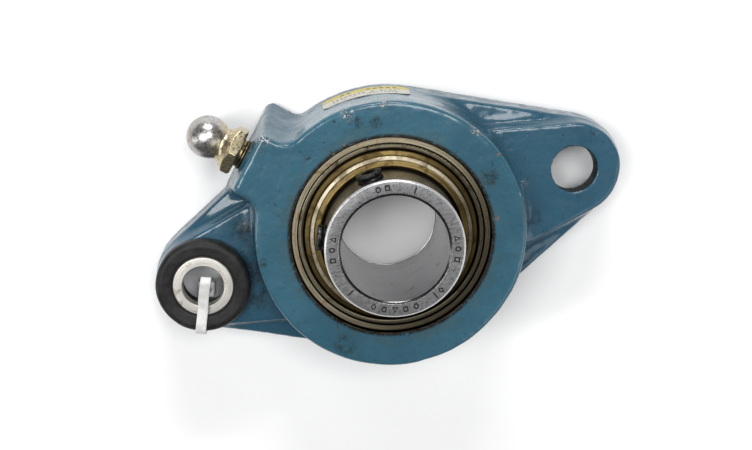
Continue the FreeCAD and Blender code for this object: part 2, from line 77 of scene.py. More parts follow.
class Shader:
    """A Principled material and short calls for the nodes in front of it."""

    def __init__(self, name, **sockets):
        self.material = bpy.data.materials.new(name)
        self.material.use_nodes = True
        self.tree = self.material.node_tree
        self.tree.nodes.clear()
        self.out = self.tree.nodes.new("ShaderNodeOutputMaterial")
        self.bsdf = self.tree.nodes.new("ShaderNodeBsdfPrincipled")
        self.tree.links.new(self.bsdf.outputs[0], self.out.inputs[0])
        for socket, value in sockets.items():
            self.bsdf.inputs[socket.replace("_", " ")].default_value = value
        coords = self.tree.nodes.new("ShaderNodeTexCoord")
        self.mm = self.vector("SCALE", coords.outputs["Object"], scale=1 / MM)

    def put(self, node_input, value):
        if isinstance(value, bpy.types.NodeSocket):
            self.tree.links.new(value, node_input)
        elif isinstance(value, tuple) and len(value) == 3 and node_input.type == "RGBA":
            node_input.default_value = (*value, 1)
        else:
            node_input.default_value = value

    def set(self, socket, value):
        self.put(self.bsdf.inputs[socket], value)

    def vector(self, operation, a, b=None, scale=None):
        node = self.tree.nodes.new("ShaderNodeVectorMath")
        node.operation = operation
        self.put(node.inputs[0], a)
        if b is not None:
            self.put(node.inputs[1], b)
        if scale is not None:
            self.put(node.inputs["Scale"], scale)
        return node.outputs["Value" if operation in ("LENGTH", "DOT_PRODUCT") else "Vector"]

    def math(self, operation, a, b=0.0, clamp=False):
        node = self.tree.nodes.new("ShaderNodeMath")
        node.operation = operation
        node.use_clamp = clamp
        self.put(node.inputs[0], a)
        self.put(node.inputs[1], b)
        return node.outputs[0]

    def times(self, a, b):
        return self.math("MULTIPLY", a, b)

    def plus(self, a, b, clamp=False):
        return self.math("ADD", a, b, clamp)

    def split(self, vector):
        node = self.tree.nodes.new("ShaderNodeSeparateXYZ")
        self.put(node.inputs[0], vector)
        return node.outputs

    def join(self, x, y, z):
        node = self.tree.nodes.new("ShaderNodeCombineXYZ")
        for i, value in enumerate((x, y, z)):
            self.put(node.inputs[i], value)
        return node.outputs[0]

    def noise(self, scale, detail=3.0, rough=0.55, where=None, distortion=0.0):
        node = self.tree.nodes.new("ShaderNodeTexNoise")
        self.put(node.inputs["Vector"], self.mm if where is None else where)
        values = {"Scale": scale, "Detail": detail, "Roughness": rough, "Distortion": distortion}
        for socket, value in values.items():
            self.put(node.inputs[socket], value)
        return node.outputs["Fac"]

    def cells(self, scale):
        node = self.tree.nodes.new("ShaderNodeTexVoronoi")
        self.put(node.inputs["Vector"], self.mm)
        self.put(node.inputs["Scale"], scale)
        return node.outputs["Distance"]

    def fade(self, value, start, end, low=0.0, high=1.0):
        """Smooth step of a value from start to end."""
        node = self.tree.nodes.new("ShaderNodeMapRange")
        node.interpolation_type = "SMOOTHSTEP"
        for i, v in enumerate((value, start, end, low, high)):
            self.put(node.inputs[i], v)
        return node.outputs[0]

    def mix(self, fac, a, b):
        node = self.tree.nodes.new("ShaderNodeMix")
        node.data_type = "RGBA"
        self.put(node.inputs[0], fac)
        self.put(node.inputs[6], a)
        self.put(node.inputs[7], b)
        return node.outputs[2]

    def near(self, centre, radius):
        """One inside a ball round a place in mm, fading to nothing at its edge."""
        distance = self.vector("LENGTH", self.vector("SUBTRACT", self.mm, centre))
        return self.fade(distance, radius, radius * 0.35)

    def between(self, value, low, high, outer, inner):
        """One from low to high, with an edge that starts outside them and ends inside them."""
        return self.times(self.fade(value, low - outer, low + inner),
                          self.fade(value, high + outer, high - inner))

    def below(self, angle, start, end):
        """Fade across the part towards a direction in the XY plane."""
        turn = math.radians(angle)
        along = self.vector("DOT_PRODUCT", self.mm, (math.cos(turn), math.sin(turn), 0.0))
        return self.fade(along, start, end)

    def pointiness(self):
        return self.tree.nodes.new("ShaderNodeNewGeometry").outputs["Pointiness"]

    def bump(self, height, distance, strength=1.0, under=None):
        node = self.tree.nodes.new("ShaderNodeBump")
        self.put(node.inputs["Strength"], strength)
        self.put(node.inputs["Distance"], distance * MM)
        self.put(node.inputs["Height"], height)
        if under is not None:
            self.put(node.inputs["Normal"], under)
        return node.outputs[0]

    def polar(self, centre=(0.0, 0.0, 0.0)):
        """Radius, angle in radians and height about a line along Z."""
        x, y, z = self.split(self.vector("SUBTRACT", self.mm, centre))
        squares = self.plus(self.times(x, x), self.times(y, y))
        radius = self.math("SQRT", squares)
        return radius, self.math("ARCTAN2", y, x), z

    def turned(self, centre=(0.0, 0.0, 0.0), across=9.0, around=1.2):
        """Fine streaks that run round a turned part."""
        radius, angle, z = self.polar(centre)
        where = self.join(self.times(radius, across), self.times(angle, around), self.times(z, across))
        return self.noise(1.0, 4.0, 0.7, where)


# Places on the paint, in mm, with their reach
CHIPS = (
    ((-22.5, 32.7, 24.0), 2.6), ((-1.5, 32.2, 24.0), 2.2), ((7.5, 32.3, 24.0), 1.8),
    ((27.3, 19.5, 24.0), 2.2), ((36.1, 0.4, 12.5), 1.2),
)
# Soot marks; the four below the hub's face, at the roots of the lugs, are painted shade
SOOT_AND_SHADE_MARKS = (
    ((-0.2, 29.8, 24.0), 1.9), ((4.5, 28.2, 24.0), 1.6), ((27.1, 7.2, 24.0), 2.3),
    ((35.6, -9.0, 11.0), 3.2), ((-32.1, 3.5, 24.0), 1.5), ((-19.2, -23.0, 24.0), 3.0),
    ((-35.5, 10.0, 14.0), 4.0), ((-38.0, -6.5, 9.5), 6.0), ((-34.5, 0.0, 13.0), 5.0),
)
RUST_SPECKS = (((26.0, -3.1, 24.0), 0.8), ((30.5, 12.0, 24.0), 0.5))
SOOT_AND_SHADE_SPREAD = 1.25

# Colours of the paint, of what has settled on it or shows through it, and of painted shade and
# highlight on it
TEAL = ((0.026, 0.090, 0.131), (0.036, 0.117, 0.167))
BLUE = ((0.018, 0.067, 0.108), (0.026, 0.087, 0.136))
MOTTLE = (0.027, 0.078, 0.106)
PALE_SPECK = (0.050, 0.145, 0.195)
# painted shade with grime, for the creases
GRIME_AND_CREASE_SHADE = (0.022, 0.028, 0.028)
OLIVE_TINT = (0.060, 0.066, 0.045)
MOUTH_DIRT = (0.012, 0.011, 0.010)
PIT = (0.012, 0.012, 0.011)
ROUGH_SIDE = (0.11, 0.14, 0.155)
# edge wear and painted highlight
WORN_AND_HIGHLIT_EDGE = (0.36, 0.38, 0.38)
# painted shade with grime, for the bolt holes
HOLE_SHADE_AND_DIRT = (0.016, 0.016, 0.014)
BARE_IRON = ((0.03, 0.03, 0.03), (0.50, 0.53, 0.54))
# soot, and painted shade at the roots of the lugs
SOOT_AND_SHADE = (0.014, 0.014, 0.013)
RUST = (0.30, 0.11, 0.015)


def painted_casting():
    """Gloss enamel over rough cast iron: teal on the hub, bluer and darker on the lugs."""
    s = Shader("painted_casting", Metallic=0.0, Specular_IOR_Level=0.22, Coat_Roughness=0.11)
    radius, _, z = s.polar()
    broad = s.noise(0.055, 4.0, 0.6)
    mottle = s.noise(0.42, 5.0, 0.65)
    speck = s.noise(2.6, 3.0, 0.6)
    teal = s.mix(s.fade(broad, 0.34, 0.68), *TEAL)
    blue = s.mix(s.fade(broad, 0.34, 0.68), *BLUE)
    colour = s.mix(s.fade(z, 15.0, 21.0), blue, teal)
    colour = s.mix(s.fade(mottle, 0.42, 0.72, 0.0, 0.55), colour, MOTTLE)
    colour = s.mix(s.fade(speck, 0.60, 0.72, 0.0, 0.5), colour, PALE_SPECK)
    point = s.pointiness()
    grime_and_shade_noise = s.noise(0.30, 6.0, 0.7, distortion=0.6)
    # Painted shade with grime: hollows and creases, found by low pointiness, are darkened in broken
    # patches
    hollow = s.times(s.fade(point, 0.497, 0.470), s.fade(grime_and_shade_noise, 0.36, 0.62))
    colour = s.mix(s.times(hollow, 0.75), colour, GRIME_AND_CREASE_SHADE)
    fine_grime = s.noise(0.9, 6.0, 0.7)
    mouth = s.times(s.fade(radius, 25.9, 25.15), s.fade(fine_grime, 0.30, 0.50))
    tint = s.times(s.fade(radius, 29.5, 25.5), s.fade(s.noise(0.12, 4.0), 0.42, 0.62))
    on_top = s.fade(z, 22.5, 23.6)
    colour = s.mix(s.times(s.times(tint, on_top), 0.35), colour, OLIVE_TINT)
    colour = s.mix(s.times(mouth, on_top), colour, MOUTH_DIRT)
    flecks = s.fade(s.noise(0.75, 8.0, 0.75, distortion=0.8), 0.60, 0.66)
    colour = s.mix(s.times(flecks, 0.8), colour, PIT)
    side = s.times(s.fade(z, 8.4, 5.5), s.fade(s.noise(0.35, 6.0, 0.72), 0.40, 0.60))
    colour = s.mix(s.times(side, 0.5), colour, ROUGH_SIDE)
    # Edge wear with painted highlight: sharp outer edges, found by high pointiness, are lightened in
    # broken patches
    wear_and_highlight = s.times(s.fade(point, 0.535, 0.575), s.fade(s.noise(0.5, 7.0, 0.7), 0.56, 0.66))
    colour = s.mix(wear_and_highlight, colour, WORN_AND_HIGHLIT_EDGE)
    matt = s.times(side, 0.6)
    for end in (-1, 1):
        hole_r, _, _ = s.polar((end * BOLT_X, 0.0, 0.0))
        # Painted shade with grime: the walls inside the bolt holes are darkened in patches
        wall = s.times(s.fade(hole_r, BOLT_HOLE_R + 0.25, BOLT_HOLE_R + 0.05),
                       s.fade(z, BOSS_Z, BOSS_Z - 0.4))
        patch_mask = s.times(wall, s.fade(mottle, 0.25, 0.6, 0.7, 0.97))
        colour = s.mix(patch_mask, colour, HOLE_SHADE_AND_DIRT)
        matt = s.math("MAXIMUM", matt, wall)
    crumbs = s.noise(1.5, 8.0, 0.8, distortion=0.5)
    for place, reach in CHIPS:
        spot = s.times(s.near(place, reach), s.fade(crumbs, 0.49, 0.54))
        colour = s.mix(spot, colour, s.mix(s.fade(speck, 0.45, 0.55), *BARE_IRON))
        wear_and_highlight = s.math("MAXIMUM", wear_and_highlight, spot)
    # Soot, and painted shade at the roots of the lugs, broken up by noise
    for place, reach in SOOT_AND_SHADE_MARKS:
        broken = s.times(s.fade(grime_and_shade_noise, 0.38, 0.56), s.fade(crumbs, 0.40, 0.56))
        spot = s.times(s.near(place, SOOT_AND_SHADE_SPREAD * reach), broken)
        colour = s.mix(s.times(spot, 0.85), colour, SOOT_AND_SHADE)
    for place, reach in RUST_SPECKS:
        spot = s.times(s.near(place, reach), s.fade(crumbs, 0.46, 0.54))
        colour = s.mix(spot, colour, RUST)
    s.set("Base Color", colour)
    rough = s.fade(mottle, 0.3, 0.75, 0.24, 0.36)
    dull = s.times(s.plus(matt, hollow), 0.35)
    s.set("Roughness", s.plus(rough, dull, clamp=True))
    s.set("Coat Weight", s.times(s.math("SUBTRACT", 1.0, matt), 0.55))
    peel = s.bump(s.noise(1.1, 3.0, 0.6), 0.10, 0.6)
    lumps = s.bump(s.noise(0.22, 3.0, 0.55), 0.5, 0.35, peel)
    s.set("Normal", s.bump(s.plus(flecks, wear_and_highlight), -0.05, 0.8, lumps))
    return s.material


def machined_iron():
    s = Shader("machined_iron", Metallic=0.85)
    streak = s.turned()
    stain = s.noise(0.4, 6.0, 0.7)
    colour = s.mix(s.fade(streak, 0.3, 0.7), (0.10, 0.09, 0.075), (0.22, 0.20, 0.17))
    s.set("Base Color", s.mix(s.fade(stain, 0.45, 0.62), colour, (0.035, 0.026, 0.018)))
    s.set("Roughness", s.fade(streak, 0.3, 0.7, 0.35, 0.6))
    s.set("Normal", s.bump(streak, 0.03, 0.6))
    return s.material


def turned_metal(name, dark, light, stain_colour, rough, stain, across=9.0,
                 centre=(0.0, 0.0, 0.0), painted_shade=(), wear_and_highlight=None, side_darkening=0.0):
    """Turned or pressed metal: streaks round the axis, blotches of stain and a few small nicks.

    The gap bands are painted very dark as shade between parts; the ridge band is wear and a painted
    highlight. All are radii in mm; the side factor darkens one side.
    """
    s = Shader(name, Metallic=1.0)
    streak = s.turned(centre, across)
    blotch = s.noise(0.22, 6.0, 0.68, distortion=0.5)
    colour = s.mix(s.fade(streak, 0.30, 0.70), dark, light)
    colour = s.mix(s.fade(blotch, *stain, 0.0, 0.85), colour, stain_colour)
    radius, _, _ = s.polar(centre)
    # The ridge band: wear and painted highlight, lightening one ridge in broken patches
    if wear_and_highlight:
        low, high, shade = wear_and_highlight
        band = s.between(radius, low, high, 0.15, 0.1)
        rubbed_and_highlit = s.times(band, s.fade(blotch, 0.62, 0.40, 0.35, 0.9))
        colour = s.mix(rubbed_and_highlit, colour, shade)
    # Darker towards one side of the part, at -48 degrees in the XY plane
    if side_darkening:
        darker_side = s.times(s.below(-48.0, -6.0, 20.0), side_darkening)
        colour = s.mix(darker_side, colour, tuple(0.22 * v for v in dark))
    # Painted shade: bands next to the gaps between parts are painted very dark
    for low, high in painted_shade:
        band = s.between(radius, low, high, 0.06, 0.04)
        colour = s.mix(s.times(band, 0.96), colour, (0.006, 0.005, 0.004))
    nick = s.fade(s.cells(0.55), 0.10, 0.05)
    nick = s.times(nick, s.fade(s.noise(0.15, 2.0), 0.52, 0.60))
    colour = s.mix(s.times(nick, 0.5), colour, tuple(0.25 * v for v in dark))
    s.set("Base Color", colour)
    base = s.fade(streak, 0.25, 0.75, *rough)
    s.set("Roughness", s.plus(base, s.fade(blotch, *stain, 0.0, 0.22)))
    s.set("Normal", s.bump(s.math("SUBTRACT", streak, nick), 0.02, 0.5))
    return s.material


def ground_steel():
    """The inner ring: brushed end face, satin bore and a brownish outside that darkens towards the
    flinger.
    """
    s = Shader("ground_steel", Metallic=1.0)
    radius, angle, z = s.polar()
    x, y, _ = s.split(s.mm)
    face = s.fade(z, COLLAR_FRONT_Z - 0.06, COLLAR_FRONT_Z - 0.02)
    rim = s.times(s.fade(radius, 16.1, 16.3), s.fade(z, 35.1, 35.3))
    outside = s.fade(radius, COLLAR_R - 0.25, COLLAR_R - 0.05)
    along_x = s.join(s.times(x, 0.55), s.times(y, 5.0), z)
    scuff = s.noise(1.0, 5.0, 0.75, along_x)
    outwards_lines = s.join(s.times(radius, 0.8), s.times(angle, 60.0), z)
    cross = s.noise(1.0, 5.0, 0.7, outwards_lines)
    ring = s.turned(across=7.0, around=0.8)
    streak = s.plus(s.times(scuff, 0.5), s.times(cross, 0.5))
    face_colour = s.mix(s.fade(streak, 0.34, 0.66), (0.31, 0.31, 0.315), (0.54, 0.54, 0.55))
    bore_colour = s.mix(s.fade(ring, 0.3, 0.7), (0.19, 0.195, 0.20), (0.38, 0.38, 0.39))
    # Painted shade: the chamfer at the front of the bore is darkened
    broken = s.times(s.fade(z, 35.24, 35.34), s.fade(radius, 14.0, 13.6))
    bore_colour = s.mix(broken, bore_colour, (0.10, 0.10, 0.10))
    side_colour = s.mix(s.fade(ring, 0.3, 0.7), (0.30, 0.26, 0.19), (0.62, 0.57, 0.46))
    # Darker down the outside towards the flinger
    side_colour = s.mix(s.fade(z, 27.5, 24.5), side_colour, (0.030, 0.022, 0.012))
    colour = s.mix(face, bore_colour, face_colour)
    colour = s.mix(s.times(outside, s.fade(z, 35.45, 35.2)), colour, side_colour)
    # Polished chamfer round the front face, painted light all round as a highlight too
    colour = s.mix(rim, colour, (0.80, 0.80, 0.80))
    stain = s.noise(0.30, 7.0, 0.72, distortion=0.7)
    colour = s.mix(s.fade(stain, 0.60, 0.72, 0.0, 0.6), colour, (0.085, 0.07, 0.05))
    pits = s.fade(s.noise(1.6, 6.0, 0.8), 0.66, 0.70)
    colour = s.mix(s.times(pits, 0.5), colour, (0.10, 0.095, 0.09))
    s.set("Base Color", colour)
    inside = s.fade(radius, COLLAR_R - 3.0, BORE_R + 0.15)
    rough = s.plus(s.fade(streak, 0.3, 0.7, 0.24, 0.36),
                   s.fade(stain, 0.55, 0.72, 0.0, 0.15))
    rough = s.plus(rough, s.times(outside, 0.22))
    s.set("Roughness", s.math("SUBTRACT", rough, s.times(inside, 0.10)))
    grooves = s.times(ring, s.plus(0.5, s.times(inside, 2.5)))
    s.set("Normal", s.bump(s.plus(s.times(streak, 0.3), grooves), 0.012, 0.5))
    return s.material


# Painted shade: the stamped marks are filled very dark to stand for the shade in their grooves
def painted_stamp_shade():
    s = Shader("painted_stamp_shade", Metallic=0.2)
    patch_mask = s.noise(4.0, 4.0, 0.7)
    painted_shade, lighter_shade = (0.004, 0.004, 0.004), (0.016, 0.015, 0.014)
    s.set("Base Color", s.mix(s.fade(patch_mask, 0.35, 0.7), painted_shade, lighter_shade))
    s.set("Roughness", s.fade(patch_mask, 0.3, 0.7, 0.45, 0.7))
    s.set("Normal", s.bump(patch_mask, 0.03, 0.6))
    return s.material


def black_oxide():
    s = Shader("black_oxide", Metallic=0.75)
    wear = s.noise(1.3, 6.0, 0.75)
    colour = s.mix(s.fade(wear, 0.40, 0.62), (0.004, 0.004, 0.004), (0.014, 0.014, 0.014))
    bright = s.times(s.fade(s.pointiness(), 0.53, 0.60), s.fade(wear, 0.42, 0.58))
    s.set("Base Color", s.mix(s.times(bright, 0.7), colour, (0.10, 0.10, 0.10)))
    s.set("Roughness", s.fade(wear, 0.3, 0.7, 0.22, 0.48))
    s.set("Normal", s.bump(s.noise(3.0, 5.0, 0.7), 0.05, 0.5))
    return s.material


def fitting_zinc():
    """Grease elbow: grey bulb where the plating has gone, gold chromate on the neck, hexagon and
    thread.
    """
    s = Shader("fitting_zinc", Metallic=1.0)
    turn = math.radians(EAR_ANGLE)
    reach = s.vector("DOT_PRODUCT", s.mm, (math.cos(turn), math.sin(turn), 0.0))
    blotch = s.noise(0.30, 5.0, 0.6, distortion=0.4)
    fine = s.noise(1.5, 6.0, 0.75)
    gold = s.mix(s.fade(fine, 0.35, 0.65), (0.34, 0.27, 0.15), (0.64, 0.57, 0.40))
    grey = s.mix(s.fade(fine, 0.35, 0.65), (0.32, 0.31, 0.30), (0.56, 0.55, 0.54))
    grey = s.mix(s.fade(blotch, 0.50, 0.66, 0.0, 0.55), grey, (0.30, 0.24, 0.17))
    edge = s.plus(reach, s.fade(blotch, 0.3, 0.7, -1.6, 1.6))
    colour = s.mix(s.fade(edge, 46.6, 49.4), gold, grey)
    pits = s.fade(s.noise(2.2, 7.0, 0.8), 0.65, 0.70)
    colour = s.mix(s.times(pits, 0.7), colour, (0.055, 0.035, 0.018))
    grime = s.times(s.fade(reach, 43.2, 41.6), 0.75)
    colour = s.mix(grime, colour, (0.10, 0.062, 0.020))
    s.set("Base Color", colour)
    rough = s.fade(fine, 0.3, 0.7, 0.24, 0.40)
    s.set("Roughness", s.plus(rough, s.times(pits, 0.3)))
    s.set("Normal", s.bump(s.plus(fine, s.times(blotch, 2.0)), 0.04, 0.5))
    return s.material


def plain_metal(name, dark, light, rough=(0.12, 0.28), scale=0.9):
    s = Shader(name, Metallic=1.0)
    n = s.noise(scale, 5.0, 0.7)
    s.set("Base Color", s.mix(s.fade(n, 0.35, 0.65), dark, light))
    s.set("Roughness", s.fade(n, 0.3, 0.7, *rough))
    s.set("Normal", s.bump(s.noise(scale * 4, 4.0, 0.6), 0.01, 0.4))
    return s.material


def rubber(name, dark, light, rough=(0.48, 0.66), mould=0.05):
    s = Shader(name, Metallic=0.0, Specular_IOR_Level=0.25)
    broad = s.noise(0.28, 6.0, 0.7)
    fine = s.noise(3.2, 4.0, 0.6)
    colour = s.mix(s.fade(broad, 0.35, 0.68), dark, light)
    dust = s.times(s.fade(fine, 0.56, 0.70), s.fade(broad, 0.45, 0.7))
    s.set("Base Color", s.mix(s.times(dust, 0.5), colour, (0.10, 0.095, 0.085)))
    s.set("Roughness", s.fade(broad, 0.3, 0.7, *rough))
    s.set("Normal", s.bump(s.plus(fine, broad), mould, 0.6))
    return s.material


# Rows of dashes on the label: lower and upper edge in z, pitch round the hub and phase, in mm
LABEL_ROWS = ((9.6, 10.7, 1.15, 0.0), (11.6, 12.4, 0.95, 0.4), (5.8, 7.3, 1.7, 0.2))
PRINT_INK = (0.06, 0.055, 0.05)


def label_paper():
    """Two printed bands with rows of plain dashes, and soiled patches."""
    s = Shader("label_paper", Metallic=0.0, Specular_IOR_Level=0.35)
    radius, angle, z = s.polar()
    arc = s.times(angle, 35.0)
    fibre = s.noise(2.4, 6.0, 0.7)
    soil = s.noise(0.35, 6.0, 0.72, distortion=0.5)
    white = s.mix(s.fade(fibre, 0.3, 0.7), (0.40, 0.39, 0.34), (0.53, 0.52, 0.47))
    yellow = s.mix(s.fade(fibre, 0.3, 0.7), (0.43, 0.35, 0.05), (0.55, 0.46, 0.10))
    colour = s.mix(s.fade(z, 8.5, 8.35), white, yellow)
    for low, high, pitch, phase in LABEL_ROWS:
        row = s.times(s.fade(z, low, low + 0.08), s.fade(z, high + 0.08, high))
        beat = s.math("FRACT", s.plus(s.math("DIVIDE", arc, pitch), phase))
        cell = s.join(s.math("FLOOR", s.math("DIVIDE", arc, pitch)), low, 0.0)
        gap = s.fade(s.noise(0.9, 0.0, 0.5, cell), 0.42, 0.46)
        dash = s.times(s.fade(beat, 0.12, 0.20), s.fade(beat, 0.80, 0.72))
        dash = s.times(s.times(dash, row), gap)
        inside = s.times(s.fade(arc, 42.0, 42.4), s.fade(arc, 59.6, 59.2))
        colour = s.mix(s.times(s.times(dash, inside), 0.9), colour, PRINT_INK)
    colour = s.mix(s.fade(soil, 0.52, 0.70, 0.0, 0.7), colour, (0.20, 0.17, 0.12))
    s.set("Base Color", colour)
    s.set("Roughness", s.fade(fibre, 0.3, 0.7, 0.40, 0.62))
    s.set("Normal", s.bump(s.plus(fibre, s.times(soil, 2.0)), 0.04, 0.6))
    return s.material


def nylon():
    s = Shader("tie_nylon", Metallic=0.0, Subsurface_Weight=0.25, Specular_IOR_Level=0.5)
    s.bsdf.inputs["Subsurface Radius"].default_value = (0.0009, 0.0009, 0.0008)
    broad = s.noise(0.5, 4.0, 0.6)
    fine = s.noise(5.0, 3.0, 0.6)
    colour = s.mix(s.fade(broad, 0.35, 0.7), (0.58, 0.58, 0.57), (0.70, 0.70, 0.69))
    s.set("Base Color", s.mix(s.fade(fine, 0.62, 0.74, 0.0, 0.4), colour, (0.42, 0.40, 0.37)))
    s.set("Roughness", s.fade(broad, 0.3, 0.7, 0.28, 0.42))
    s.set("Normal", s.bump(fine, 0.02, 0.5))
    return s.material


def floor_paper():
    s = Shader("floor_paper", Metallic=0.0, Specular_IOR_Level=0.1)
    n = s.noise(0.02, 3.0, 0.5)
    s.set("Base Color", s.mix(s.fade(n, 0.3, 0.7), (0.87, 0.87, 0.87), (0.90, 0.90, 0.90)))
    s.set("Roughness", s.fade(n, 0.3, 0.7, 0.85, 0.95))
    return s.material


PAINT = painted_casting()
IRON = machined_iron()
# The very dark gap bands of the ring, carrier and flinger below are painted shade between parts
RING_STEEL = turned_metal("bearing_steel", (0.25, 0.205, 0.125), (0.56, 0.50, 0.37),
                          (0.15, 0.095, 0.035), (0.26, 0.42), (0.50, 0.66),
                          painted_shade=((24.42, 27.0), (22.6, 23.24)), side_darkening=0.85)
COLLAR_STEEL = ground_steel()
STAMP_SHADE = painted_stamp_shade()
CARRIER_STEEL = turned_metal("carrier_steel", (0.10, 0.085, 0.052), (0.27, 0.24, 0.17),
                             (0.05, 0.037, 0.02), (0.30, 0.45), (0.50, 0.66),
                             painted_shade=((22.96, 23.3), (18.0, 21.72)), side_darkening=0.7)
ZINC = turned_metal("yellow_zinc", (0.130, 0.088, 0.028), (0.250, 0.185, 0.078),
                    (0.070, 0.044, 0.016), (0.38, 0.50), (0.46, 0.64), across=4.0,
                    painted_shade=((16.0, 17.5),), wear_and_highlight=(19.05, 19.95, (0.40, 0.36, 0.28)), side_darkening=0.7)
SLEEVE_STEEL = turned_metal("sleeve_steel", (0.50, 0.48, 0.44), (0.78, 0.76, 0.71),
                            (0.30, 0.25, 0.18), (0.36, 0.50), (0.55, 0.70),
                            centre=(-BOLT_X, 0.0, 0.0))
FITTING = fitting_zinc()
OXIDE = black_oxide()
BALL_STEEL = plain_metal("ball_steel", (0.55, 0.55, 0.56), (0.68, 0.68, 0.69), (0.06, 0.14))
CAGE_STEEL = plain_metal("cage_steel", (0.22, 0.21, 0.19), (0.40, 0.38, 0.34), (0.25, 0.42))
RIVET_STEEL = plain_metal("rivet_steel", (0.30, 0.29, 0.27), (0.48, 0.46, 0.43), (0.25, 0.40))
SPRING_STEEL = plain_metal("spring_steel", (0.24, 0.24, 0.25), (0.42, 0.42, 0.43), (0.18, 0.30))
SEAL_RUBBER = rubber("seal_rubber", (0.010, 0.010, 0.010), (0.024, 0.022, 0.020))
RING_RUBBER = rubber("ring_rubber", (0.007, 0.007, 0.007), (0.020, 0.019, 0.019),
                     (0.40, 0.55), mould=0.09)
LABEL = label_paper()
NYLON = nylon()


# ---------------------------------------------------------------- mesh helpers

def new_object(name, mesh):
    obj = bpy.data.objects.new(name, mesh)
    bpy.context.scene.collection.objects.link(obj)
    return obj


def mesh_object(name, vertices, faces):
    """Object from points in millimetres."""
    mesh = bpy.data.meshes.new(name)
    mesh.from_pydata([tuple(c * MM for c in v) for v in vertices], [], faces)
    mesh.update()
    return new_object(name, mesh)


def applied(obj):
    """Bake an object's modifiers into its mesh."""
    graph = bpy.context.evaluated_depsgraph_get()
    mesh = bpy.data.meshes.new_from_object(obj.evaluated_get(graph))
    obj.modifiers.clear()
    obj.data = mesh
    return obj


def smooth(obj, angle=32.0):
    mesh = obj.data
    mesh.polygons.foreach_set("use_smooth", [True] * len(mesh.polygons))
    mesh.set_sharp_from_angle(angle=math.radians(angle))
    mesh.update()
    return obj


def outwards(obj):
    """Weld a mesh and point its faces outwards."""
    bm = bmesh.new()
    bm.from_mesh(obj.data)
    bmesh.ops.remove_doubles(bm, verts=bm.verts, dist=1e-8)
    bmesh.ops.recalc_face_normals(bm, faces=bm.faces)
    bm.to_mesh(obj.data)
    bm.free()
    return obj


def lathe(name, profile, steps=256, centre=(0.0, 0.0)):
    """Closed solid turned about Z from a closed profile of (radius, height) in mm."""
    vertices, faces, count = [], [], len(profile)
    for i in range(steps):
        turn = 2 * math.pi * i / steps
        c, s = math.cos(turn), math.sin(turn)
        vertices += [(centre[0] + r * c, centre[1] + r * s, z) for r, z in profile]
    for i in range(steps):
        a, b = i * count, (i + 1) % steps * count
        for j in range(count):
            k = (j + 1) % count
            faces.append((a + j, b + j, b + k, a + k))
    return outwards(mesh_object(name, vertices, faces))


def prism(name, outline, low, high):
    """Upright solid over a closed outline of (x, y) in mm."""
    count = len(outline)
    vertices = [(x, y, low) for x, y in outline] + [(x, y, high) for x, y in outline]
    faces = [tuple(range(count))[::-1], tuple(range(count, 2 * count))]
    faces += [(i, (i + 1) % count, count + (i + 1) % count, count + i) for i in range(count)]
    return outwards(mesh_object(name, vertices, faces))


def rounded(points, steps=8):
    """Profile of (r, z, corner radius) as plain points, with each corner rounded off."""
    result = []
    count = len(points)
    for i, (r, z, radius) in enumerate(points):
        here = Vector((r, z))
        if radius == 0:
            result.append((r, z))
            continue
        back = (Vector(points[i - 1][:2]) - here).normalized()
        ahead = (Vector(points[(i + 1) % count][:2]) - here).normalized()
        half = back.angle(ahead) / 2
        centre = here + (back + ahead).normalized() * radius / math.sin(half)
        start = here + back * radius / math.tan(half) - centre
        end = here + ahead * radius / math.tan(half) - centre
        span = math.pi - 2 * half
        sign = 1 if start.x * end.y - start.y * end.x > 0 else -1
        for k in range(steps + 1):
            turn = sign * span * k / steps
            c, s = math.cos(turn), math.sin(turn)
            result.append((centre.x + start.x * c - start.y * s,
                           centre.y + start.x * s + start.y * c))
    return result


def arc(centre_r, centre_z, radius, start, end, steps):
    """Points on a circle in the (r, z) half plane, angles in degrees."""
    turns = [math.radians(start + (end - start) * i / steps) for i in range(steps + 1)]
    return [(centre_r + radius * math.cos(t), centre_z + radius * math.sin(t)) for t in turns]


def aim(obj, angle, z):
    """Turn an object built along +Z so that it points outwards at an angle, at height z in mm."""
    turn = Matrix.Rotation(math.radians(angle), 4, "Z") @ Matrix.Rotation(math.pi / 2, 4, "Y")
    obj.data.transform(Matrix.Translation((0, 0, z * MM)) @ turn)
    return obj


def boolean(obj, tools, operation="DIFFERENCE"):
    """Cut an object with tools, or join it to them, one after another."""
    for tool in tools:
        modifier = obj.modifiers.new("cut", "BOOLEAN")
        modifier.operation = operation
        modifier.solver = "MANIFOLD"
        modifier.object = tool
    bpy.context.view_layer.update()
    applied(obj)
    for tool in tools:
        bpy.data.objects.remove(tool)
    return obj


def welded_copy(name, node):
    obj = new_object(name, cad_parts[node].data.copy())
    obj.data.materials.clear()
    bm = bmesh.new()
    bm.from_mesh(obj.data)
    bmesh.ops.remove_doubles(bm, verts=bm.verts, dist=1e-6)
    bm.to_mesh(obj.data)
    bm.free()
    return obj


def remeshed(obj, voxel):
    modifier = obj.modifiers.new("skin", "REMESH")
    modifier.mode = "VOXEL"
    modifier.voxel_size = voxel * MM
    modifier.adaptivity = 0.0
    return applied(obj)


def read_points(mesh):
    points = np.empty(len(mesh.vertices) * 3)
    mesh.vertices.foreach_get("co", points)
    return points.reshape(-1, 3)


def read_normals(mesh):
    normals = np.empty(len(mesh.vertices) * 3, np.float32)
    mesh.vertices.foreach_get("normal", normals)
    return normals.reshape(-1, 3).astype(float)


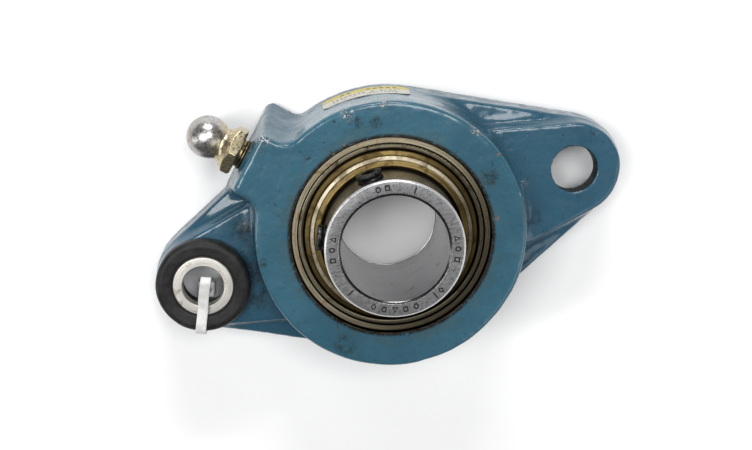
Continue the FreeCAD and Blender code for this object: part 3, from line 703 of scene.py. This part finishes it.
def relax(obj, rounds, strength=0.5, hollow_only=True, mask=None):
    """Smooth a dense mesh. With hollow_only, points only move outwards and fill inside corners."""
    mesh = obj.data
    edges = np.empty(len(mesh.edges) * 2, np.int64)
    mesh.edges.foreach_get("vertices", edges)
    edges = edges.reshape(-1, 2)
    points = read_points(mesh)
    degree = np.bincount(edges.ravel(), minlength=len(points)).astype(float)[:, None]
    weight = 1.0 if mask is None else mask(points / MM)[:, None]
    for _ in range(rounds):
        total = np.zeros_like(points)
        for axis in range(3):
            total[:, axis] += np.bincount(edges[:, 0], points[edges[:, 1], axis], len(points))
            total[:, axis] += np.bincount(edges[:, 1], points[edges[:, 0], axis], len(points))
        step = total / degree - points
        if hollow_only:
            normals = read_normals(mesh)
            along = (step * normals).sum(1, keepdims=True)
            step = np.where(along > 0, along * normals, 0.0)
        points += strength * weight * step
        if hollow_only:
            mesh.vertices.foreach_set("co", points.ravel())
            mesh.update()
    mesh.vertices.foreach_set("co", points.ravel())
    mesh.update()
    return obj


def roughen(obj, layers):
    """Push a dense mesh in and out along its normals by noise layers of (size, height) in mm."""
    mesh = obj.data
    points, normals = read_points(mesh), read_normals(mesh)
    height = np.zeros(len(points))
    for size, tall in layers:
        height += [tall * MM * noise.noise(Vector(p) / (size * MM)) for p in points]
    mesh.vertices.foreach_set("co", (points + normals * height[:, None]).ravel())
    mesh.update()
    return obj


def finish_piece(obj, body, node=None, materials=(), angle=32.0):
    smooth(obj, angle)
    if materials:
        obj.data.materials.clear()
        for material in materials:
            obj.data.materials.append(material)
    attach(obj, body)
    if node:
        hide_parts(node)
    return obj


# ---------------------------------------------------------------- housing

PLUG_R = 27.0               # a plug this wide closes the seat while the cast surface is made
EAR_PLUG_R = 4.6
TAPPED_HOLE_R = 4.0
SLOT_HALF_WIDTH = 7.3
CAST_VOXEL = 0.40
CAST_ROUGHNESS = ((11.0, 0.20), (3.6, 0.09), (1.5, 0.03))
SEAT_STEPS = 360


def seat_tool():
    lip = math.sqrt(SEAT_R ** 2 - (FRONT_Z - BEARING_Z) ** 2)
    lift = math.degrees(math.asin((FRONT_Z - 0.45 - BEARING_Z) / SEAT_R))
    ball = arc(0, BEARING_Z, SEAT_R, -lift, lift, 28)
    profile = [(0, -1), (lip + 0.3, -1), (lip + 0.3, ball[0][1] - 0.1), *ball]
    profile += [(lip + 0.35, FRONT_Z - 0.08), (lip + 0.75, FRONT_Z + 0.5), (0, FRONT_Z + 0.5)]
    return lathe("seat_tool", profile, SEAT_STEPS)


def slot_tool():
    reach = math.degrees(math.asin(SLOT_HALF_WIDTH / SEAT_R))
    outline = []
    for middle in (90, 270):
        for i in range(13):
            turn = math.radians(middle + reach - 2 * reach * i / 12)
            outline.append((SEAT_R * math.cos(turn), SEAT_R * math.sin(turn)))
    return prism("slot_tool", outline, -1, BEARING_Z)


def hole_tool(side):
    profile = [(0, -1), (BOLT_HOLE_R, -1), (BOLT_HOLE_R, BOSS_Z - 0.5)]
    profile += arc(BOLT_HOLE_R + 0.5, BOSS_Z - 0.5, 0.5, 180, 100, 6)
    profile += [(BOLT_HOLE_R + 0.9, BOSS_Z + 1), (0, BOSS_Z + 1)]
    return lathe("hole_tool", profile, 128, (side * BOLT_X, 0))


def rod(name, radius, low, high, steps):
    return lathe(name, [(0, low), (radius, low), (radius, high), (0, high)], steps)


def make_housing():
    """Close the machined openings, round and roughen the cast skin, then cut them open again."""
    casting = welded_copy("housing_cast", "housing")
    plug = rod("plug", PLUG_R, 0.02, FRONT_Z, 128)
    plug_ear = aim(rod("plug_ear", EAR_PLUG_R, 26, 40.5, 48), EAR_ANGLE, BEARING_Z)
    boolean(casting, [plug, plug_ear], "UNION")
    remeshed(casting, CAST_VOXEL)

    def outside_plug(points):
        return np.clip((np.hypot(points[:, 0], points[:, 1]) - PLUG_R) / 2, 0, 1)

    relax(casting, 60, 0.6, True, outside_plug)
    relax(casting, 2, 0.4, False)
    roughen(casting, CAST_ROUGHNESS)
    rear = prism("rear_tool", [(-80, -60), (80, -60), (80, 60), (-80, 60)], -5, 0)
    tapped = aim(rod("tapped_tool", TAPPED_HOLE_R, 24, 46, 64), EAR_ANGLE, BEARING_Z)
    boolean(casting, [rear, seat_tool(), slot_tool(), hole_tool(1), hole_tool(-1), tapped])
    finish_piece(casting, "housing_body", "housing", (PAINT, IRON), 38)
    for face in casting.data.polygons:
        x, y, z = (c / MM for c in face.center)
        in_seat = math.hypot(x, y) < SEAT_R + 0.05 and z > 0.05 and abs(face.normal.z) < 0.999
        face.material_index = 1 if in_seat and z < FRONT_Z - 0.12 else 0
    return casting


# ---------------------------------------------------------------- inner ring with its stamped marks

# Generic marks on the end face: (angle, kind)
MARKS = (
    (89.0, "ring"), (80.5, "square"), (55.0, "bar"), (-7.0, "wedge"), (-17.0, "ring"),
    (-27.0, "square"), (-59.5, "diamond"), (-66.5, "bar"), (-152.0, "bar"), (-87.0, "ring"),
    (-97.0, "square"), (-107.0, "wedge"), (-117.0, "ring"), (-127.0, "diamond"),
    (173.0, "square"), (163.0, "ring"), (153.0, "wedge"),
)
MARK_R = 14.85
MARK_DEPTH = 0.15
MARK_HOLLOW = 0.48          # inner outline of a mark, as a share of its outer one
MARK_SHAPES = {
    "ring": [(0.78 * math.cos(t * math.pi / 12), 0.66 * math.sin(t * math.pi / 12))
             for t in range(24)],
    "square": [(-0.72, -0.6), (0.72, -0.6), (0.72, 0.6), (-0.72, 0.6)],
    "diamond": [(-0.9, 0.0), (0.0, -0.72), (0.9, 0.0), (0.0, 0.72)],
    "wedge": [(-0.75, -0.72), (0.85, 0.0), (-0.75, 0.72)],
    "bar": [(-0.85, -0.2), (0.85, -0.2), (0.85, 0.2), (-0.85, 0.2)],
}


def mark_tools():
    """Shallow cutters for the marks, standing on the end face. All but the bars are hollow."""
    low, high = COLLAR_FRONT_Z - MARK_DEPTH, COLLAR_FRONT_Z + 0.5
    tools = []
    for angle, kind in MARKS:
        turn = Matrix.Rotation(math.radians(angle), 3, "Z")
        shape = MARK_SHAPES[kind]
        outer = [turn @ Vector((MARK_R + a, b, 0)) for a, b in shape]
        if kind == "bar":
            tools.append(prism("mark", [(p.x, p.y) for p in outer], low, high))
            continue
        middle = sum(a for a, _ in shape) / len(shape)
        inner = [turn @ Vector((MARK_R + middle + (a - middle) * MARK_HOLLOW, b * MARK_HOLLOW, 0))
                 for a, b in shape]
        count = len(shape)
        vertices = [(p.x, p.y, z) for z in (low, high) for loop in (outer, inner) for p in loop]
        out_low, in_low, out_high, in_high = (k * count for k in range(4))
        faces = []
        for i in range(count):
            j = (i + 1) % count
            faces += [(out_low + i, out_low + j, in_low + j, in_low + i),
                      (out_high + i, in_high + i, in_high + j, out_high + j),
                      (out_low + i, out_high + i, out_high + j, out_low + j),
                      (in_low + i, in_low + j, in_high + j, in_high + i)]
        tools.append(outwards(mesh_object("mark", vertices, faces)))
    return tools


def make_inner_ring():
    bore, outside, low, high = BORE_R, COLLAR_R, COLLAR_REAR_Z, COLLAR_FRONT_Z
    half_width = math.sqrt(GROOVE_R ** 2 - (BALL_CIRCLE_R - outside) ** 2)
    reach = math.degrees(math.asin(half_width / GROOVE_R))
    race = arc(BALL_CIRCLE_R, BEARING_Z, GROOVE_R, 180 + reach, 180 - reach, 16)
    profile = rounded([(bore, low + 0.5, 0.1), (bore + 0.8, low, 0.1), (outside - 0.4, low, 0.1),
                       (outside, low + 0.4, 0.1)], 3)
    profile += race
    profile += rounded([(outside, high - 0.55, 0.15), (outside - 0.55, high, 0.12),
                        (bore + 0.8, high, 0.05), (bore, high - 0.5, 0.08)], 4)
    ring = lathe("inner_ring_turned", profile, 320)
    holes = []
    for angle in SCREW_ANGLES:
        shape = [(0, bore - 2), (SCREW_HOLE_R, bore - 2), (SCREW_HOLE_R, outside - 0.25),
                 (SCREW_HOLE_R + 0.8, outside + 0.55), (0, outside + 0.55)]
        holes.append(aim(lathe("screw_hole", shape, 96), angle, SCREW_Z))
    boolean(ring, holes + mark_tools())
    finish_piece(ring, "inner_race", "inner_ring", (COLLAR_STEEL, STAMP_SHADE), 28)
    # Faces inside the marks get the painted stamp shade
    for face in ring.data.polygons:
        x, y, z = (c / MM for c in face.center)
        in_mark = COLLAR_FRONT_Z - 0.2 < z < COLLAR_FRONT_Z - 0.02
        on_face = bore + 0.9 < math.hypot(x, y) < outside - 0.75
        face.material_index = 1 if in_mark and on_face else 0
    return ring


# ---------------------------------------------------------------- grease fitting

ELBOW_VOXEL = 0.10
HEXAGON_END = 45.0          # distance from the shaft bore at which the hexagon ends


def make_elbow():
    """The elbow with its bulb, neck and hexagon run into one another as on a forged fitting."""
    elbow = welded_copy("grease_elbow_forged", "grease_elbow")
    remeshed(elbow, ELBOW_VOXEL)
    turn = math.radians(EAR_ANGLE)

    def beyond_hexagon(points):
        reach = points[:, 0] * math.cos(turn) + points[:, 1] * math.sin(turn)
        return np.clip((reach - HEXAGON_END) / 0.6, 0, 1)

    relax(elbow, 110, 0.6, True, beyond_hexagon)
    relax(elbow, 24, 0.5, False, beyond_hexagon)
    relax(elbow, 2, 0.4, False)
    return finish_piece(elbow, "housing_body", "grease_elbow", (FITTING,), 42)


# ---------------------------------------------------------------- loose bush and its tie

def make_rubber_ring():
    inner, outer, low, high = 7.86, 12.0, BOSS_Z + 0.01, BOSS_Z + 3.8
    profile = rounded([(inner, low, 0.3), (outer, low, 0.6), (outer, high - 0.1, 1.5),
                       (10.3, high, 1.0), (8.4, high - 0.15, 0.5), (inner, high - 0.45, 0.25)], 8)
    ring = lathe("rubber_ring_moulded", profile, 192, (-BOLT_X, 0))
    roughen(ring, ((5.0, 0.10), (1.4, 0.03)))
    return finish_piece(ring, "housing_body", "rubber_ring", (RING_RUBBER,), 50)


def make_sleeve():
    inner, outer, low, high = 5.25, 7.8, BOSS_Z + 0.01, BOSS_Z + 3.2
    profile = rounded([(inner, low, 0.3), (outer, low, 0.3), (outer, high - 0.32, 0.2),
                       (outer - 0.35, high - 0.03, 0.25), (inner + 0.16, high, 0.05),
                       (inner, high - 0.16, 0.05)], 6)
    sleeve = lathe("spacer_sleeve_turned", profile, 192, (-BOLT_X, 0))
    return finish_piece(sleeve, "housing_body", "spacer_sleeve", (SLEEVE_STEEL,), 50)


# The tie lies in an upright plane through the bolt hole: away points out of the lug, across lies
# over the strap. The route is (distance from the hole's axis, height, sideways drift) in mm.
TIE_AWAY = Vector((-0.363, -0.932, 0))
TIE_ACROSS = Vector((0.932, -0.363, 0))
TIE_ROUTE = (
    (13.55, 3.0, 0.0), (13.5, 9.0, 0.0), (12.75, 13.2, 0.0), (12.0, 16.0, 0.0),
    (10.3, 16.85, 0.1), (6.4, 16.6, 0.3), (3.0, 17.1, 0.4), (0.2, 18.0, 0.6),
    (-1.7, 18.4, 0.8), (-2.75, 17.9, 0.85), (-2.1, 17.0, 0.8), (-0.4, 15.7, 0.6),
    (1.7, 12.8, 0.4), (3.1, 9.0, 0.2), (3.8, 4.0, 0.0), (4.6, 0.4, 0.0),
    (6.3, -0.65, 0.0), (9.0, -0.76, 0.0), (12.2, -0.72, 0.0), (13.3, 0.5, 0.0),
)
TIE_HALF_WIDTH = 1.33
TIE_HALF_THICK = 0.45
TIE_EDGE_R = 0.25
TIE_STEPS = 10


def closed_curve(route, steps):
    """Points on a smooth closed curve through a route."""
    count = len(route)
    path = []
    for i in range(count):
        a, b, c, d = [Vector(route[(i + k) % count]) for k in (-1, 0, 1, 2)]
        for k in range(steps):
            t = k / steps
            path.append(0.5 * (2 * b + (c - a) * t + (2 * a - 5 * b + 4 * c - d) * t ** 2
                               + (3 * b - a - 3 * c + d) * t ** 3))
    return path


def strap_section():
    """Flat section with rounded corners, as (across, out) in mm."""
    wide, thick = TIE_HALF_WIDTH - TIE_EDGE_R, TIE_HALF_THICK - TIE_EDGE_R
    section = []
    for sx, sy, start in ((1, 1, 0), (-1, 1, 90), (-1, -1, 180), (1, -1, 270)):
        for i in range(5):
            turn = math.radians(start + 22.5 * i)
            section.append((sx * wide + TIE_EDGE_R * math.cos(turn),
                            sy * thick + TIE_EDGE_R * math.sin(turn)))
    return section


def make_tie():
    """Flat nylon tie: up through the bush, over its face and round the lug's lower edge."""
    away, across = TIE_AWAY, TIE_ACROSS
    path, section = closed_curve(TIE_ROUTE, TIE_STEPS), strap_section()
    vertices, faces = [], []
    total, size = len(path), len(section)
    for i, (s, z, side) in enumerate(path):
        forward = path[(i + 1) % total] - path[i - 1]
        run = Vector((forward.x, forward.y)).normalized()
        centre = away * s + across * side + Vector((-BOLT_X, 0, z))
        out = away * run.y - Vector((0, 0, run.x))
        for a, b in section:
            vertices.append(tuple(centre + across * a + out * b))
    for i in range(total):
        j = (i + 1) % total
        for k in range(size):
            m = (k + 1) % size
            faces.append((i * size + k, i * size + m, j * size + m, j * size + k))
    tie = outwards(mesh_object("shipping_tie", vertices, faces))
    finish_piece(tie, "housing_body", None, (NYLON,), 60)

    outline = [(-2.1, -2.3), (2.1, -2.3), (2.1, 2.3), (-2.1, 2.3)]
    head = prism("shipping_tie_head", outline, -1.9, 1.9)
    bevel = head.modifiers.new("round", "BEVEL")
    bevel.width = 0.5 * MM
    bevel.segments = 4
    applied(head)
    place = away * 3.75 + Vector((-BOLT_X, 0, 4.2))
    frame_axes = Matrix((away, across, Vector((0, 0, 1)))).transposed().to_4x4()
    head.data.transform(Matrix.Translation(place * MM) @ frame_axes)
    return finish_piece(head, "housing_body", None, (NYLON,), 40)


# ---------------------------------------------------------------- CAD nodes that stay

NODE_MATERIALS = {
    "outer_ring": RING_STEEL,
    "balls": BALL_STEEL,
    "cage_front": CAGE_STEEL,
    "cage_rear": CAGE_STEEL,
    "cage_rivets": RIVET_STEEL,
    "front_seal_carrier": CARRIER_STEEL,
    "rear_seal_carrier": CARRIER_STEEL,
    "front_seal_lip": SEAL_RUBBER,
    "rear_seal_lip": SEAL_RUBBER,
    "front_flinger": ZINC,
    "rear_flinger": ZINC,
    "set_screw_a": OXIDE,
    "set_screw_b": OXIDE,
    "grease_nozzle": FITTING,
    "nozzle_check_ball": BALL_STEEL,
    "nozzle_spring": SPRING_STEEL,
    "label": LABEL,
}
for name, material in NODE_MATERIALS.items():
    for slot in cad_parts[name].material_slots:
        slot.material = material

make_housing()
make_inner_ring()
make_elbow()
make_rubber_ring()
make_sleeve()
make_tie()

# ---------------------------------------------------------------- floor, lights and camera

FLOOR_SIZE = 6.0
FLOOR_GAP = 0.0002
LIGHT_TARGET = Vector((0, 0, 0.012))
# name, place in metres, width and height in metres, power in watts
LIGHTS = (
    ("key", (0.22, 0.72, 0.36), (0.34, 0.045), 3.7),
    ("overhead_left", (-0.36, 0.22, 0.90), (0.34, 0.40), 4.6),
    ("overhead_right", (0.22, 0.26, 0.95), (0.34, 0.40), 4.2),
    ("side_left", (-0.75, 0.10, 0.30), (0.16, 0.5), 0.9),
    ("side_right", (0.62, -0.42, 0.45), (0.30, 0.30), 0.6),
    ("low_front", (0.34, -0.52, 0.75), (0.36, 0.36), 0.8),
)
WORLD_COLOUR = (0.80, 0.81, 0.82, 1)
WORLD_STRENGTH = 0.16
CAMERA_PLACE = (0.00166622, 0.06836686, 0.28241661)
CAMERA_TURN = (-13.63236, -3.16925, -16.83676)
CAMERA_LENS = 52.27088

lowest = min(0.0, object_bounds()[0][2])
bpy.ops.mesh.primitive_grid_add(x_subdivisions=8, y_subdivisions=8, size=FLOOR_SIZE,
                                location=(0, 0, lowest - FLOOR_GAP))
floor = bpy.context.object
floor.name = "floor"
floor.data.materials.append(floor_paper())

for name, place, size, power in LIGHTS:
    light = bpy.data.lights.new(name, "AREA")
    light.shape = "RECTANGLE"
    light.size, light.size_y = size
    light.energy = power
    lamp = bpy.data.objects.new(name, light)
    bpy.context.scene.collection.objects.link(lamp)
    lamp.location = place
    lamp.rotation_euler = (LIGHT_TARGET - Vector(place)).to_track_quat("-Z", "Y").to_euler()

world = bpy.data.worlds.new("studio")
bpy.context.scene.world = world
world.use_nodes = True
background = world.node_tree.nodes["Background"]
background.inputs[0].default_value = WORLD_COLOUR
background.inputs[1].default_value = WORLD_STRENGTH

camera_data = bpy.data.cameras.new("camera")
camera_data.sensor_width = 36.0
camera_data.lens = CAMERA_LENS
camera_data.clip_start = 0.01
camera = bpy.data.objects.new("camera", camera_data)
bpy.context.scene.collection.objects.link(camera)
camera.location = CAMERA_PLACE
camera.rotation_euler = tuple(math.radians(a) for a in CAMERA_TURN)
bpy.context.scene.camera = camera
bpy.context.scene.view_settings.view_transform = "Standard"
